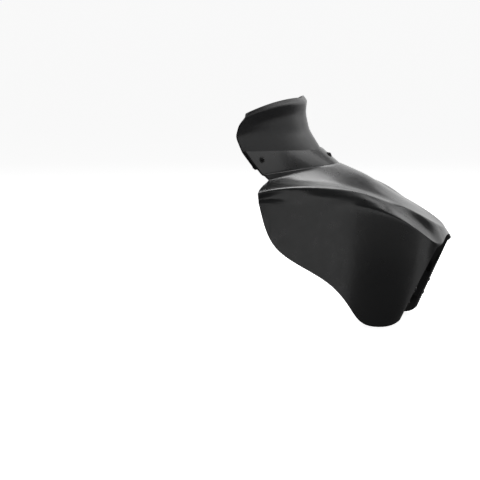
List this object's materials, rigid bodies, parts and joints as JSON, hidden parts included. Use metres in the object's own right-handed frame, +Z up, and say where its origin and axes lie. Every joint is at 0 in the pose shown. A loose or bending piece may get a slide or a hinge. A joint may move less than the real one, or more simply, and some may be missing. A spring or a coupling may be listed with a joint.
{
  "type": "windshield screen",
  "caption": "Fork-mounted motorcycle fairing with a smoked windshield bolted behind its lip, clamped fork mounts, rubber bobbins and sprung trigger latches.",
  "frame": {"origin": "midway between the axes of the two lower fork clamps", "axes": "+X to the rider's left, -Y forward, +Z up, with the fork tubes raked back by 30 degrees"},
  "size_m": [0.7524, 0.4818, 0.5613],
  "materials": {
    "satin_black_plastic": "satin",
    "smoked_acrylic": "polished",
    "foam_rubber": "matte",
    "nylon": "matte",
    "rubber": "matte",
    "black_steel": "satin",
    "zinc_steel": "bright",
    "spring_steel": "bright",
    "black_powder_coat": "satin",
    "cast_aluminium": "satin"
  },
  "bodies": {
    "fairing": {"fairing_shell": "satin_black_plastic", "screen": "smoked_acrylic", "lip_gasket": "foam_rubber", "screen_bolts": "black_steel", "screen_bolt_washers": "nylon", "screen_rubber_washers": "rubber", "screen_nuts": "zinc_steel", "left_mount_plate": "black_powder_coat", "right_mount_plate": "black_powder_coat", "plate_bolts": "black_steel", "plate_bolt_washers": "zinc_steel", "plate_nuts": "zinc_steel", "clamp_screws": "black_steel", "clamp_nuts": "zinc_steel", "studs": "zinc_steel", "bobbins": "rubber", "bobbin_washers": "zinc_steel", "stud_nuts": "zinc_steel", "left_trigger_spring": "spring_steel", "right_trigger_spring": "spring_steel", "trigger_pivots": "zinc_steel", "trigger_nuts": "zinc_steel", "left_lower_clamp_front": "cast_aluminium", "left_lower_clamp_rear": "cast_aluminium", "left_lower_clamp_liner": "rubber", "left_upper_clamp_front": "cast_aluminium", "left_upper_clamp_rear": "cast_aluminium", "left_upper_clamp_liner": "rubber", "right_lower_clamp_front": "cast_aluminium", "right_lower_clamp_rear": "cast_aluminium", "right_lower_clamp_liner": "rubber", "right_upper_clamp_front": "cast_aluminium", "right_upper_clamp_rear": "cast_aluminium", "right_upper_clamp_liner": "rubber"},
    "left_trigger": {"left_trigger": "black_powder_coat"},
    "right_trigger": {"right_trigger": "black_powder_coat"}
  },
  "joints": [
    {"name": "left_trigger_pivot", "type": "hinge", "parent": "fairing", "child": "left_trigger", "pos_m": [0.104, 0.00732, 0.08468], "axis": [1, 0, 0], "range_deg": [0, 38], "stiffness_Nm_per_rad": 0.25, "springref_deg": -34.38, "deforming": ["left_trigger_spring"]},
    {"name": "right_trigger_pivot", "type": "hinge", "parent": "fairing", "child": "right_trigger", "pos_m": [-0.104, 0.00732, 0.08468], "axis": [1, 0, 0], "range_deg": [0, 38], "stiffness_Nm_per_rad": 0.25, "springref_deg": -34.38, "deforming": ["right_trigger_spring"]}
  ]
}
